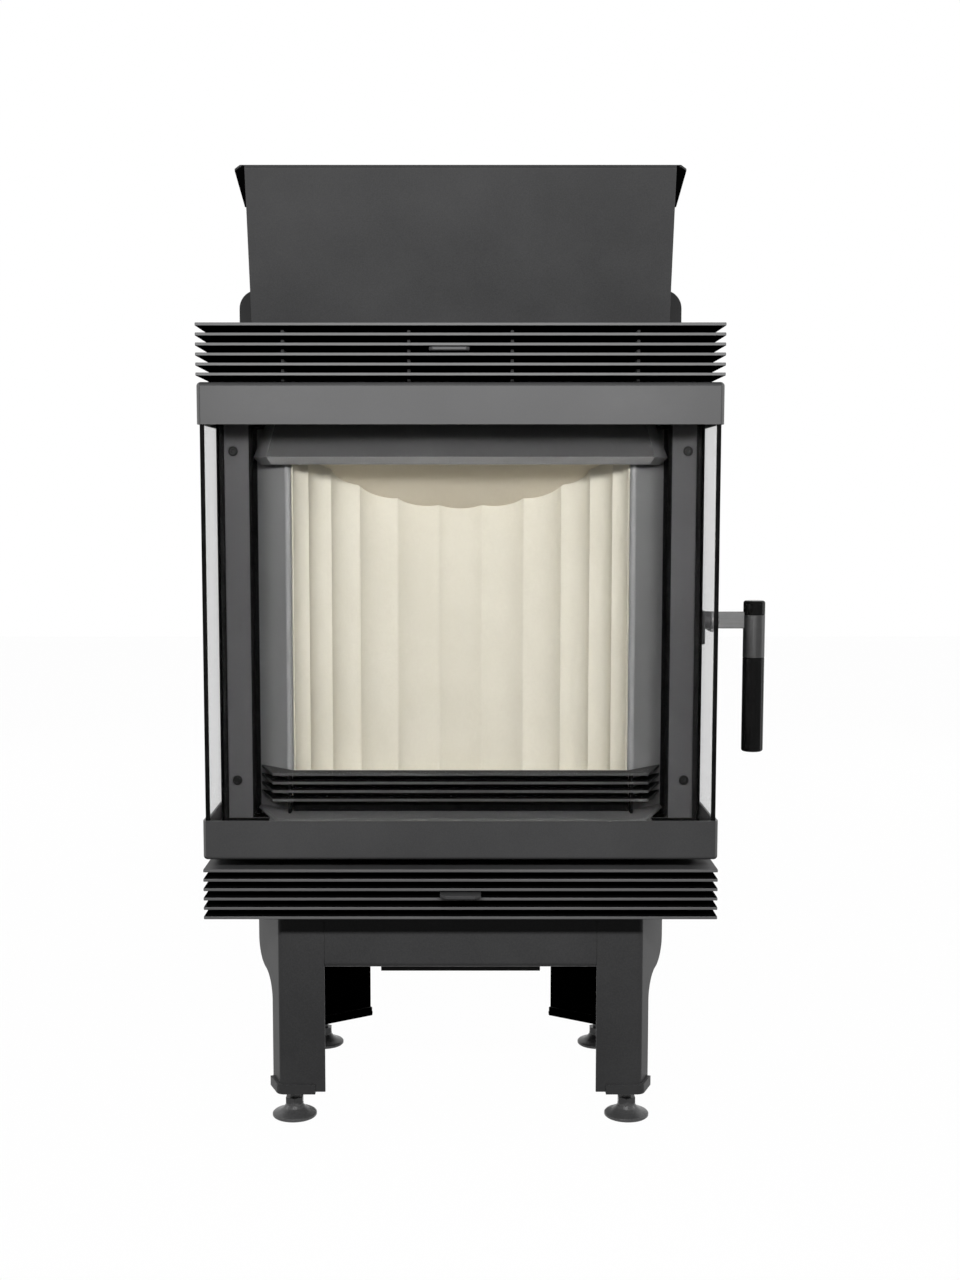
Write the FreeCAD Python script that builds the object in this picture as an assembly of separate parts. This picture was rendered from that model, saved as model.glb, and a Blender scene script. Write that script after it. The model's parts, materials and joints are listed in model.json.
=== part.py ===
import FreeCAD, Part
import math
import os

V = FreeCAD.Vector

# Clearances and sheet thicknesses
GAP = 0.3
FIT = 0.05
THIN = 2.0
SHEET = 3.0
BEND = 3.0

# Widths, left to right
FRONT_W = 500.0
FRAME_IN = 8.0
BODY_IN = 28.0
LINING_IN = 41.0
SHIELD_OUT = 1.0
DEFLECTOR_IN = 40.0
FLANGE_IN = 29.0
APRON_W = 272.0
ASH_BOX_W = 170.0
POST_W = 30.5
RIB_IN = 78.0
SPACER_IN = 72.0

# Depths, front edge of the louvres at zero
FRAME_Y = 108.0
BODY_D = 208.0
SHIELD_OFF = 14.0
DOOR_FRONT_Y = 2.0
DOOR_GAP = 3.0
LEG_Y = 35.0
ASH_FRONT_IN = 42.0
ASH_BACK_IN = 31.0
LIP_FRONT_Y = 85.0

# Heights above the floor
LEG_FOOT_Z = 33.2
CAP_T = 1.6
LEG_TOP_Z = 214.0
HEARTH_RISE = 69.0
HEARTH_T = 4.0
SILL_RISE = 9.0
FIREBOX_H = 533.0
HEADER_DROP = 44.0
HEADER_RISE = 50.0
DOOR_OVERLAP = 31.0
APRON_H = 53.0
ASH_BOX_DROP = 89.4
SHIELD_LIFT = 23.0
SHIELD_RISE = 63.0
DOME_H = 100.0
COLLAR_H = 92.0
DEFLECTOR_RISE = 152.0

# Louvres
SLATS = 6
SLAT_PITCH = 9.3
SLAT_T = 3.0
LOW_SLAT_RISE = 4.0
HIGH_SLAT_RISE = 38.0
RIB_X = 50.0
RIB_Y = 40.0

# Lining
LINING_T = 15.0
LINING_OFF = 8.0
FLUTE_SAG = 5.5
BACK_ANGLE = 38.75
BACK_FLUTES = 5
SIDE_FLUTES = 3
BAFFLE_DROP = 42.2
BAFFLE_SLOPE = 30.0
BAFFLE_T = 25.0
BAFFLE_IN = 52.0
STONE_T = 20.0

# Guard and ledge in front of the fire
GUARD_SLATS = 4
GUARD_PITCH = 9.0
LIP_DROP = 11.0
LIP_BEND = 6.0

# Door
TRAY_TOP_H = 39.7
TRAY_LOW_H = 38.5
NOTCH = 3.2
GLASS_T = 4.0
STILE_D = 10.0
HINGE_R = 4.0
HINGE_IN = 5.0
HINGE_BACK = 8.0
TAB_T = 6.0
COLLAR_T = 1.0
LATCH_RISE = 226.7
KEEPER_BACK = 16.0
KEEPER_R = 3.0
SHAFT_R = 5.0
GRIP_R = 11.0
GRIP_OUT = 48.5
GRIP_LENGTHS = (96.6, 43.4, 14.4)
GRIP_LOW = 134.5

# Feet, flue and air connection
STEM_R = 5.0
NUT_AF = 17.0
PAD_R = 22.5
FLUE_R = 75.0
INLET_R = 40.0
INLET_RISE = 44.4
INLET_L = 55.0

# Sliders
AIR_TAB_X = -10.6
AIR_TAB_W = 38.0
AIR_TRAVEL = (-14.4, 35.6)
KINDLE_TAB_W = 40.0
KINDLE_TRAVEL = 30.0

# Values that follow from the sizes above
HALF = FRONT_W / 2
FRAME = HALF - FRAME_IN
BODY = HALF - BODY_IN
INSIDE = BODY - SHEET
RIDGE_R = INSIDE - LINING_IN
MOUTH = RIDGE_R - 2.0
FRAME_BACK_Y = FRAME_Y + THIN
BODY_BACK_Y = FRAME_Y + BODY_D
SHIELD_Y = BODY_BACK_Y + SHIELD_OFF
FLUE_Y = BODY_BACK_Y - FLUE_R - SHEET
LINING_BACK_Y = BODY_BACK_Y - SHEET - LINING_OFF
RING_Y = LINING_BACK_Y - LINING_T - RIDGE_R
BASE_TOP_Z = LEG_TOP_Z + SHEET
HEARTH_LOW_Z = BASE_TOP_Z + HEARTH_RISE
HEARTH_Z = HEARTH_LOW_Z + HEARTH_T
SILL_Z = HEARTH_Z + SILL_RISE
TOP_Z = BASE_TOP_Z + FIREBOX_H
HEADER_Z = TOP_Z - HEADER_DROP
HEADER_TOP_Z = TOP_Z + HEADER_RISE
SHIELD_Z = BASE_TOP_Z + SHIELD_LIFT
SHIELD_TOP_Z = HEADER_TOP_Z + SHIELD_RISE
DOME_Z = TOP_Z + SHEET
COLLAR_Z = DOME_Z + DOME_H
DEFLECTOR_TOP_Z = HEADER_TOP_Z + DEFLECTOR_RISE
ASH_BOX_Z = LEG_TOP_Z - ASH_BOX_DROP
INLET_Z = ASH_BOX_Z + INLET_RISE
BAFFLE_Z = TOP_Z - BAFFLE_DROP
LIP_Z = SILL_Z + THIN
LOW_SLAT_Z = BASE_TOP_Z + LOW_SLAT_RISE
HIGH_SLAT_Z = HEADER_Z + HIGH_SLAT_RISE
LOW_TAB_Z = LOW_SLAT_Z + (SLATS - 1) * SLAT_PITCH + SLAT_T / 2 + 1.8
DOOR_Z = LOW_TAB_Z + TAB_T + COLLAR_T
DOOR_TOP_Z = HEADER_Z + DOOR_OVERLAP
DOOR_REAR_Y = FRAME_Y - DOOR_GAP
LATCH_Z = DOOR_Z + LATCH_RISE
SIDE_OUT = HALF - THIN - GAP
SIDE_IN = SIDE_OUT - GLASS_T
GLASS_Y = DOOR_FRONT_Y + THIN + GAP
HINGE_X = HINGE_IN - HALF
HINGE_Y = FRAME_Y - HINGE_BACK
LOUVRE_D = HINGE_Y - 10.0
FRAME_POST_IN = FRAME - POST_W
LINE_Y = FRAME_Y + 30.0
FRONT_ANGLE = math.degrees(math.acos((LINE_Y + 11.0 - RING_Y) / RIDGE_R))
BAFFLE_FRONT_Y = LINE_Y + BAFFLE_IN
CHEEK_X = INSIDE - 5.0
CHEEK_Y = LINE_Y + (CHEEK_X - MOUTH) * 39 / 38
GUARD_TAIL = [(CHEEK_X - 0.8, CHEEK_Y - 0.82), (MOUTH - 0.4, LINE_Y - 0.8)]
ASH_BOX_Y = FRAME_Y + ASH_FRONT_IN
INLET_BACK_Y = BODY_BACK_Y - ASH_BACK_IN
AIR_GAP_Z = HIGH_SLAT_Z + 2.5 * SLAT_PITCH
KINDLE_GAP_Z = LOW_SLAT_Z + 2.5 * SLAT_PITCH
GRIP_X = HALF + GRIP_OUT
GRIP_Z = LATCH_Z - GRIP_LOW
LEG_SIDE_X = HALF - 69.0
LEG_BACK_Y = FRAME_Y + 1.0
LEG_WAIST_Y = LEG_Y + 26.0
FRONT_LEG = [(APRON_W / 2, LEG_Y), (LEG_SIDE_X, LEG_Y), (BODY - 12, LEG_BACK_Y)]
REAR_LEG = [(BODY - 118, BODY_BACK_Y - 25), (BODY - 50, BODY_BACK_Y - 70), (BODY - 26, BODY_BACK_Y - 16)]
SCREW_X = FRAME - 12.0
SCREW_ZS = (SILL_Z + 39.5, HEADER_Z - 31.0)
BUSH_X = SIDE_OUT + 2.5
BOSS_X = BUSH_X + 5.8
HOOK_X = BOSS_X + GAP
ARM_X = HOOK_X + SHEET + GAP
KEEPER_Y = HINGE_Y + KEEPER_BACK
GRATE_X = ASH_BOX_W / 2 - 7
GRATE_YS = (ASH_BOX_Y + 7, LINING_BACK_Y - 42)
RIB_XS = (RIB_X, HALF - RIB_IN)
VENT_XS = [side * (FRAME - d) for side in (-1, 1) for d in (42, 102, 142)]
TRAY_BEND = 2.0
PANE_Z = DOOR_Z + THIN + TRAY_BEND + GAP
PANE_TOP_Z = DOOR_TOP_Z - THIN - TRAY_BEND - GAP
BEAD_X = SIDE_IN - 0.2
STILE_Y = DOOR_REAR_Y - STILE_D
FEET = {"front": (HALF - 80.5, LEG_Y + 25.0), "rear": (BODY - 64.0, BODY_BACK_Y - 32.0)}


def box(x0, x1, y0, y1, z0, z1):
    """Block between two corners."""
    return Part.makeBox(x1 - x0, y1 - y0, z1 - z0, V(x0, y0, z0))


def rod(radius, x, y, z, axis, length):
    """Cylinder from a point along an axis."""
    return Part.makeCylinder(radius, length, V(x, y, z), V(*axis))


def both(shape):
    """A piece and its mirror image across the middle plane."""
    return [shape, shape.mirror(V(0, 0, 0), V(1, 0, 0))]


def across(points):
    """Closed outline from its right half, mirrored to the left."""
    return points + [(-x, y) for x, y in reversed(points)]


def fuse_all(shapes):
    """One solid from touching ones."""
    return shapes[0].multiFuse(shapes[1:]).removeSplitter()


def rounded_edges(points, radii):
    """Lines and arcs along a flat polyline, each corner with its radius."""
    spots = [V(x, y, 0) for x, y in points]
    edges = []
    start = spots[0]
    for i in range(1, len(spots) - 1):
        back = (spots[i - 1] - spots[i]).normalize()
        ahead = (spots[i + 1] - spots[i]).normalize()
        stop = spots[i]
        if radii[i] > 0:
            half = back.getAngle(ahead) / 2
            middle = (back + ahead).normalize()
            stop = spots[i] + back * (radii[i] / math.tan(half))
            crown = spots[i] + middle * (radii[i] / math.sin(half) - radii[i])
            edges.append(Part.makeLine(start, stop))
            start = spots[i] + ahead * (radii[i] / math.tan(half))
            edges.append(Part.Arc(stop, crown, start).toShape())
        else:
            edges.append(Part.makeLine(start, stop))
            start = stop
    edges.append(Part.makeLine(start, spots[-1]))
    return edges


def polygon(points, radius=0.0, only=None):
    """Flat face with all its corners rounded alike, or only those named."""
    if radius == 0:
        ring = [V(x, y, 0) for x, y in points + points[:1]]
        return Part.Face(Part.makePolygon(ring))
    middle = ((points[-1][0] + points[0][0]) / 2, (points[-1][1] + points[0][1]) / 2)
    radii = [radius if only is None or i in only else 0.0 for i in range(len(points))]
    return Part.Face(Part.Wire(rounded_edges([middle] + points + [middle], [0.0] + radii + [0.0])))


def parallel(points, shift):
    """Mitred parallel of a polyline, to the left of its direction."""
    lines = list(zip(points, points[1:]))
    normals = []
    for (ax, ay), (bx, by) in lines:
        length = math.hypot(bx - ax, by - ay)
        normals.append(((ay - by) / length, (bx - ax) / length))
    moved = []
    for i, (x, y) in enumerate(points):
        near = normals[max(i - 1, 0):i + 1]
        sx = sum(n[0] for n in near)
        sy = sum(n[1] for n in near)
        k = shift * len(near) / (sx * sx + sy * sy)
        moved.append((x + k * sx, y + k * sy))
    return moved


def fold(points, thick, bend):
    """Section of a bent sheet, one face along the points and the other to the left."""
    other = parallel(points, thick)
    near = [0.0] * len(points)
    far = [0.0] * len(points)
    for i in range(1, len(points) - 1):
        (ax, ay), (bx, by), (cx, cy) = points[i - 1:i + 2]
        turn = (bx - ax) * (cy - by) - (by - ay) * (cx - bx)
        near[i] = bend + abs(thick) if turn * thick > 0 else bend
        far[i] = 2 * bend + abs(thick) - near[i]
    edges = rounded_edges(points, near) + rounded_edges(other, far)
    for a, b in ((points[0], other[0]), (points[-1], other[-1])):
        edges.append(Part.makeLine(V(a[0], a[1], 0), V(b[0], b[1], 0)))
    return Part.Face(Part.Wire(Part.__sortEdges__(edges)))


def prism(face, plane, low, high):
    """Flat face set into a plane and drawn out between two distances."""
    turns = {
        "xy": FreeCAD.Rotation(),
        "yz": FreeCAD.Rotation(V(0, 1, 0), V(0, 0, 1), V(1, 0, 0), "XYZ"),
        "xz": FreeCAD.Rotation(V(1, 0, 0), V(0, 0, 1), V(0, -1, 0), "XYZ"),
    }
    solid = face.extrude(V(0, 0, high - low))
    start = V(0, 0, -high if plane == "xz" else low)
    solid.Placement = FreeCAD.Placement(V(0, 0, 0), turns[plane]) * FreeCAD.Placement(start, turns["xy"])
    return solid


def turned(points, x, y):
    """Body of revolution about an upright axis from radius and height pairs."""
    ring = [V(r, 0, z) for r, z in points + points[:1]]
    solid = Part.Face(Part.makePolygon(ring)).revolve(V(0, 0, 0), V(0, 0, 1), 360)
    solid.translate(V(x, y, 0))
    return solid


def loft(sections, inset):
    """Straight-sided solid through flat faces at given heights, each drawn in by an inset."""
    wires = []
    for face, z in sections:
        wire = face.OuterWire if inset == 0 else face.makeOffset2D(-inset, join=2).OuterWire
        moved = wire.copy()
        moved.translate(V(0, 0, z))
        wires.append(moved)
    return Part.makeLoft(wires, True, True)


def hexagon(x, y, z0, z1):
    """Hexagonal prism on an upright axis."""
    r = NUT_AF / math.sqrt(3)
    ring = [(x + r * math.sin(k * math.pi / 3), y + r * math.cos(k * math.pi / 3)) for k in range(6)]
    return prism(polygon(ring), "xy", z0, z1)


def slot_cut(x0, x1, y0, y1, z0, z1):
    """Upright slot with round ends."""
    radius = min(x1 - x0, y1 - y0) / 2 - 0.05
    return prism(polygon([(x0, y0), (x1, y0), (x1, y1), (x0, y1)], radius), "xy", z0, z1)


def ash_hole(margin):
    """Space the ash box takes in the plates around it."""
    w = ASH_BOX_W / 2 + margin
    return box(-w, w, ASH_BOX_Y - margin, INLET_BACK_Y + margin, 0, HEARTH_LOW_Z)


def base_plate():
    plan = across([FRONT_LEG[1], FRONT_LEG[2], (BODY, LEG_BACK_Y + 3), (BODY, BODY_BACK_Y)])
    return prism(polygon(plan), "xy", LEG_TOP_Z, BASE_TOP_Z).cut(ash_hole(GAP))


def front_legs():
    leg = prism(fold(FRONT_LEG, SHEET, BEND), "xy", LEG_FOOT_Z, LEG_TOP_Z)
    high, low = LEG_TOP_Z - 39, LEG_TOP_Z - 94
    mid_y, mid_z = (LEG_WAIST_Y + LEG_BACK_Y) / 2, (high + low) / 2
    step, rise = mid_y - LEG_WAIST_Y, mid_z - low
    r = (step * step + rise * rise) / (2 * step)
    bow = math.asin(rise / r) / 2
    lower = V(LEG_WAIST_Y + r - r * math.cos(bow), low + r * math.sin(bow), 0)
    upper = V(LEG_BACK_Y - r + r * math.cos(bow), high - r * math.sin(bow), 0)
    p = [V(LEG_WAIST_Y, 0, 0), V(LEG_WAIST_Y, low, 0), V(mid_y, mid_z, 0), V(LEG_BACK_Y, high, 0)]
    far = [V(LEG_BACK_Y + 20, high, 0), V(LEG_BACK_Y + 20, 0, 0)]
    edges = [Part.makeLine(p[0], p[1]), Part.Arc(p[1], lower, p[2]).toShape()]
    edges += [Part.Arc(p[2], upper, p[3]).toShape(), Part.makeLine(p[3], far[0])]
    edges += [Part.makeLine(far[0], far[1]), Part.makeLine(far[1], p[0])]
    scoop = prism(Part.Face(Part.Wire(edges)), "yz", 0, FRONT_W)
    return both(leg.cut(scoop))


def rear_legs():
    return both(prism(fold(REAR_LEG, SHEET, BEND), "xy", LEG_FOOT_Z, LEG_TOP_Z))


def foot_brackets():
    (ax, ay), (bx, by), (cx, cy) = FRONT_LEG
    k = (LEG_WAIST_Y - by) / (cy - by)
    front = [(ax + 10, ay), (bx, by), (bx + k * (cx - bx), LEG_WAIST_Y)]
    caps = []
    for path, place in ((front, "front"), (REAR_LEG, "rear")):
        outer = parallel(path, -SHEET)
        wrap = prism(fold(path, -SHEET, BEND + SHEET), "xy", LEG_FOOT_Z, LEG_FOOT_Z + 8.2)
        back = FEET[place][1] + 15
        plan = outer + [(x, back) for x in (outer[-1][0], outer[0][0]) if back > outer[-1][1]]
        plate = prism(polygon(plan, BEND + 2 * SHEET, [1]), "xy", LEG_FOOT_Z - CAP_T, LEG_FOOT_Z)
        cap = fuse_all([plate, wrap])
        x, y = FEET[place]
        caps += both(cap.cut(rod(STEM_R + FIT, x, y, 0, (0, 0, 1), LEG_TOP_Z)))
    return caps


def lock_nuts():
    nuts = []
    for x, y in FEET.values():
        nut = hexagon(x, y, LEG_FOOT_Z - CAP_T - 6, LEG_FOOT_Z - CAP_T)
        nuts += both(nut.cut(rod(STEM_R + FIT, x, y, 0, (0, 0, 1), LEG_TOP_Z)))
    return nuts


def foot(x, y):
    pad = turned([(0, 0), (PAD_R - 1, 0), (PAD_R, 1), (PAD_R, 3), (PAD_R - 1, 4), (16, 5.5),
                  (11.5, 8.5), (9, 12), (9, 14), (0, 14)], x, y)
    stem = rod(STEM_R, x, y, 14, (0, 0, 1), LEG_FOOT_Z + 28)
    return fuse_all([pad, hexagon(x, y, 14, 20), stem])


def front_apron():
    low = LEG_TOP_Z - APRON_H
    path = [(LEG_Y, LEG_TOP_Z), (LEG_Y, low), (LEG_Y + 25, low)]
    return prism(fold(path, SHEET, BEND), "yz", -APRON_W / 2, APRON_W / 2)


def ash_box():
    w = ASH_BOX_W / 2
    outer = box(-w, w, ASH_BOX_Y, INLET_BACK_Y, ASH_BOX_Z, HEARTH_LOW_Z)
    t = THIN
    hollow = box(t - w, w - t, ASH_BOX_Y + t, INLET_BACK_Y - t, ASH_BOX_Z + t, HEARTH_LOW_Z + 1)
    port = rod(18.0, 0, ASH_BOX_Y - 1, KINDLE_GAP_Z, (0, 1, 0), 5)
    inlet = rod(INLET_R - 1.5, 0, INLET_BACK_Y - 5, INLET_Z, (0, 1, 0), 10)
    return outer.cut(hollow).cut(port).cut(inlet)


def ash_pan():
    w = ASH_BOX_W / 2 - 5
    y0, y1 = ASH_BOX_Y + 5, INLET_BACK_Y - 5
    z0 = ASH_BOX_Z + THIN
    low = polygon([(-w + 8, y0 + 8), (w - 8, y0 + 8), (w - 8, y1 - 8), (-w + 8, y1 - 8)])
    high = polygon([(-w, y0), (w, y0), (w, y1), (-w, y1)])
    outer = loft([(low, z0), (high, z0 + 48)], 0.0)
    inner = loft([(low, z0), (high, z0 + 48)], 1.5)
    inner.translate(V(0, 0, 1.5))
    return outer.cut(inner)


def air_inlet_spigot():
    tube = rod(INLET_R, 0, INLET_BACK_Y, INLET_Z, (0, 1, 0), INLET_L)
    return tube.cut(rod(INLET_R - 1.5, 0, INLET_BACK_Y - 1, INLET_Z, (0, 1, 0), INLET_L + 2))


def firebox_shell():
    path = [(-BODY, FRAME_BACK_Y), (-BODY, BODY_BACK_Y), (BODY, BODY_BACK_Y), (BODY, FRAME_BACK_Y)]
    return prism(fold(path, -SHEET, BEND), "xy", BASE_TOP_Z, TOP_Z)


def hearth_plate():
    x, y = INSIDE, BODY_BACK_Y - SHEET
    plate = box(-x, x, FRAME_BACK_Y, y, HEARTH_LOW_Z, HEARTH_Z)
    shell = firebox_shell()
    return plate.cut(shell).cut(box(8 - GRATE_X, GRATE_X - 8, GRATE_YS[0] + 8, GRATE_YS[1] - 8, 0, HEARTH_Z + 1))


def dome_faces(inset):
    """Oblong foot and round top of the smoke dome."""
    w = 2 * FLUE_R - inset
    y0, y1 = FLUE_Y - FLUE_R + 7 + inset, BODY_BACK_Y - 10 - inset
    right = [(w - 20, y0), (w, y0 + 20), (w, y1 - 20), (w - 20, y1)]
    foot_ring = right[1:] + [(-x, y) for x, y in reversed(right)] + right[:1]
    angles = (-22.5, 22.5, 67.5, 112.5, 157.5, 202.5, 247.5, 292.5)
    r = FLUE_R + 1 - inset
    turns = [math.radians(a) for a in angles]
    eighth = math.pi / 8
    spots = [V(r * math.cos(a), FLUE_Y + r * math.sin(a), 0) for a in turns]
    crowns = [V(r * math.cos(a + eighth), FLUE_Y + r * math.sin(a + eighth), 0) for a in turns]
    ring = [Part.Arc(spots[i], crowns[i], spots[(i + 1) % 8]).toShape() for i in range(8)]
    return polygon(foot_ring), Part.Face(Part.Wire(ring))


def smoke_dome():
    outer, inner = [loft(zip(dome_faces(inset), (DOME_Z, COLLAR_Z)), 0.0) for inset in (0.0, SHEET)]
    return outer.cut(inner)


def top_plate():
    plate = box(-BODY, BODY, FRAME_BACK_Y, BODY_BACK_Y, TOP_Z, TOP_Z + SHEET)
    throat = prism(dome_faces(SHEET)[0], "xy", TOP_Z - 1, TOP_Z + SHEET + 1)
    return plate.cut(throat)


def flue_collar():
    tube = rod(FLUE_R, 0, FLUE_Y, COLLAR_Z, (0, 0, 1), COLLAR_H)
    return tube.cut(rod(FLUE_R - SHEET, 0, FLUE_Y, COLLAR_Z - 1, (0, 0, 1), COLLAR_H + 2))


def air_slots(centre, y0, y1):
    """Three upright air openings about a middle line."""
    z = AIR_GAP_Z
    cuts = [box(centre + d - 4, centre + d + 4, y0, y1, z - 6, z + 6) for d in (-14, 0, 14)]
    return Part.makeCompound(cuts)


def front_header():
    plate = box(-FRAME, FRAME, FRAME_Y, FRAME_BACK_Y, HEADER_Z, HEADER_TOP_Z)
    reach = sum(AIR_TRAVEL) / 2 + AIR_TAB_X
    vents = [box(x - 22, x + 22, FRAME_Y - 1, FRAME_BACK_Y + 1, HEADER_TOP_Z - 40, HEADER_TOP_Z - 34)
             for x in VENT_XS]
    return plate.cut(air_slots(reach, FRAME_Y - 1, FRAME_BACK_Y + 1)).cut(Part.makeCompound(vents))


def front_sill():
    plate = box(-FRAME, FRAME, FRAME_Y, FRAME_BACK_Y, BASE_TOP_Z, SILL_Z)
    z = KINDLE_GAP_Z
    gate = box(-10 - GAP, 10 + GAP, FRAME_Y - 1, FRAME_BACK_Y + 1, z - 1.5 - GAP, z + 1.5 + GAP)
    vents = [box(x - 22, x + 22, FRAME_Y - 1, FRAME_BACK_Y + 1, z - 3, z + 3)
             for x in VENT_XS]
    return plate.cut(gate).cut(Part.makeCompound(vents))


def door_posts():
    path = [(FRAME_POST_IN, FRAME_Y + 12), (FRAME_POST_IN, FRAME_Y), (FRAME, FRAME_Y),
            (FRAME, FRAME_Y + 32), (BODY, FRAME_Y + 32)]
    post = prism(fold(path, THIN, BEND), "xy", SILL_Z, HEADER_Z)
    for z in SCREW_ZS:
        post = post.cut(rod(2.2, SCREW_X, FRAME_Y - 1, z, (0, 1, 0), 5))
    return both(post)


def post_screws():
    screws = []
    for z in SCREW_ZS:
        head = rod(5.0, SCREW_X, FRAME_Y - 2.4, z, (0, 1, 0), 2.4)
        head = head.makeChamfer(1.0, [e for e in head.Edges if e.BoundBox.YMax < FRAME_Y - 2])
        socket = rod(1.9, SCREW_X, FRAME_Y - 3, z, (0, 1, 0), 1.8)
        shank = rod(2.0, SCREW_X, FRAME_Y, z, (0, 1, 0), 7)
        screws += both(head.cut(socket).fuse(shank))
    return screws


def air_wash_hood():
    levels = ((HEADER_Z - 44, 15, 26, 12, 44), (HEADER_Z - 36.5, 4, 22, 4, 44),
              (HEADER_Z + 10, 28, 32, 21, 50), (TOP_Z, 28, 32, 21, 50))
    sections = []
    for z, front, corner, end, back in levels:
        y0, y1 = FRAME_Y + front, FRAME_Y + back
        path = [(end - INSIDE, y1), (corner - INSIDE, y0), (INSIDE - corner, y0), (INSIDE - end, y1)]
        sections.append((polygon(path + list(reversed(parallel(path, THIN)))), z))
    return loft(sections, 0.0)


def cheek_plates():
    path = [(INSIDE, CHEEK_Y), (CHEEK_X, CHEEK_Y), (MOUTH, LINE_Y), (MOUTH, LINE_Y + 12)]
    return both(prism(fold(path, -SHEET, 1.0), "xy", HEARTH_Z, HEADER_Z - 6))


def on_ring(radius, degrees):
    """Point at an angle from straight back, about the middle of the fire."""
    a = math.radians(degrees)
    return radius * math.sin(a), RING_Y + radius * math.cos(a)


def fluted_panel(first, last, flutes, outer):
    """Lining panel with hollow flutes towards the fire, cut off under the sloping baffle."""
    angles = [first + (last - first) * k / flutes for k in range(flutes + 1)]
    edges = []
    for a, b in zip(angles, angles[1:]):
        spots = [on_ring(RIDGE_R, a), on_ring(RIDGE_R + FLUTE_SAG, (a + b) / 2), on_ring(RIDGE_R, b)]
        edges.append(Part.Arc(*[V(x, y, 0) for x, y in spots]).toShape())
    ring = [on_ring(RIDGE_R, last)] + outer + [on_ring(RIDGE_R, first)]
    edges += [Part.makeLine(V(*a, 0), V(*b, 0)) for a, b in zip(ring, ring[1:])]
    block = prism(Part.Face(Part.Wire(edges)), "xy", HEARTH_Z, TOP_Z)
    y0, y1 = FRAME_Y, BODY_BACK_Y
    under = polygon([(y0, 0), (y1, 0), (y1, baffle_z(y1)), (y0, baffle_z(y0))])
    return block.common(prism(under, "yz", -HALF, HALF))


def baffle_z(y):
    """Height of the sloping seat of the baffle."""
    return BAFFLE_Z + (LINE_Y - y) * math.tan(math.radians(BAFFLE_SLOPE))


def lining_back():
    end = BACK_ANGLE - math.degrees(GAP / RIDGE_R)
    x, y = on_ring(RIDGE_R + LINING_T + 7, end)
    outer = [(x, y), (x - 25, LINING_BACK_Y), (25 - x, LINING_BACK_Y), (-x, y)]
    return fluted_panel(-end, end, BACK_FLUTES, outer)


def lining_sides():
    corner = on_ring(RIDGE_R + LINING_T + 7, BACK_ANGLE)
    x, y = on_ring(RIDGE_R, FRONT_ANGLE)
    outer = [(x + LINING_IN - 10, y + 31), (x + LINING_IN - 20, y + 76), corner]
    return both(fluted_panel(BACK_ANGLE, FRONT_ANGLE, SIDE_FLUTES, outer))


def smoke_baffle():
    a = math.radians(BAFFLE_SLOPE)
    y0, y1 = BAFFLE_FRONT_Y, LINING_BACK_Y
    lift = BAFFLE_T / math.cos(a)
    side = [(y0, baffle_z(y0)), (y1, baffle_z(y1)), (y1, baffle_z(y1) + lift),
            (y0 + BAFFLE_T * math.sin(a), baffle_z(y0) + BAFFLE_T * math.cos(a))]
    return prism(polygon(side, 3.0), "yz", 14 - INSIDE, INSIDE - 14)


def hearth_stone():
    disc = rod(RIDGE_R - 1.5, 0, RING_Y, HEARTH_Z, (0, 0, 1), STONE_T)
    front = box(-HALF, HALF, -HALF, LINE_Y + GAP, 0, TOP_Z)
    x = GRATE_X + GAP
    return disc.cut(front).cut(box(-x, x, GRATE_YS[0] - GAP, GRATE_YS[1] + GAP, 0, TOP_Z))


def grate():
    y0, y1 = GRATE_YS
    plate = box(-GRATE_X, GRATE_X, y0, y1, HEARTH_Z, HEARTH_Z + STONE_T - 2)
    step = (2 * GRATE_X - 24) / 8
    gaps = [slot_cut(x - 3.5, x + 3.5, y0 + 12, y1 - 12, HEARTH_Z - 1, HEARTH_Z + STONE_T)
            for x in (step * (k - 4) for k in range(9))]
    return plate.cut(Part.makeCompound(gaps))


def log_guard():
    plan = polygon(across([(MOUTH + 19, FRAME_Y + 10)] + GUARD_TAIL))
    low = LIP_Z + 13
    pieces = [prism(plan, "xy", low + k * GUARD_PITCH, low + k * GUARD_PITCH + SHEET) for k in range(GUARD_SLATS)]
    top = low + (GUARD_SLATS - 1) * GUARD_PITCH
    pieces += both(box(MOUTH + 0.5, MOUTH + 3.5, FRAME_Y + 13, LINE_Y - 2, LIP_Z, top))
    pieces.append(box(0.4 - MOUTH, MOUTH - 0.4, LINE_Y - 0.8 - SHEET, LINE_Y - 0.8, LIP_Z, top))
    return fuse_all(pieces)


def ash_lip():
    plan = across([(MOUTH + 15, LIP_FRONT_Y), (INSIDE - 3, LINE_Y + 25)] + GUARD_TAIL)
    low = LIP_Z - LIP_DROP
    body = prism(polygon(plan), "xy", low, LIP_Z)
    hollow = prism(polygon(plan).makeOffset2D(-THIN, join=2), "xy", low - 1, LIP_Z - THIN)
    fold_edges = [e for e in body.Edges if e.BoundBox.ZMin > LIP_Z - 0.1 and e.BoundBox.YMin < FRAME_Y]
    body = body.makeFillet(LIP_BEND, fold_edges)
    fold_edges = [e for e in hollow.Edges
                  if e.BoundBox.ZMin > LIP_Z - THIN - 0.1 and e.BoundBox.YMin < FRAME_Y]
    hollow = hollow.makeFillet(LIP_BEND - THIN, fold_edges)
    body = body.cut(hollow).cut(box(-HALF, HALF, FRAME_Y - GAP, BODY_BACK_Y, 0, SILL_Z))
    x = MOUTH + 15
    for side in (-1, 1):
        body = body.cut(box(side * x - 3, side * x + 3, LIP_FRONT_Y - 1, LIP_FRONT_Y + 4, low - 1, LIP_Z - 5))
    return body


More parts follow.
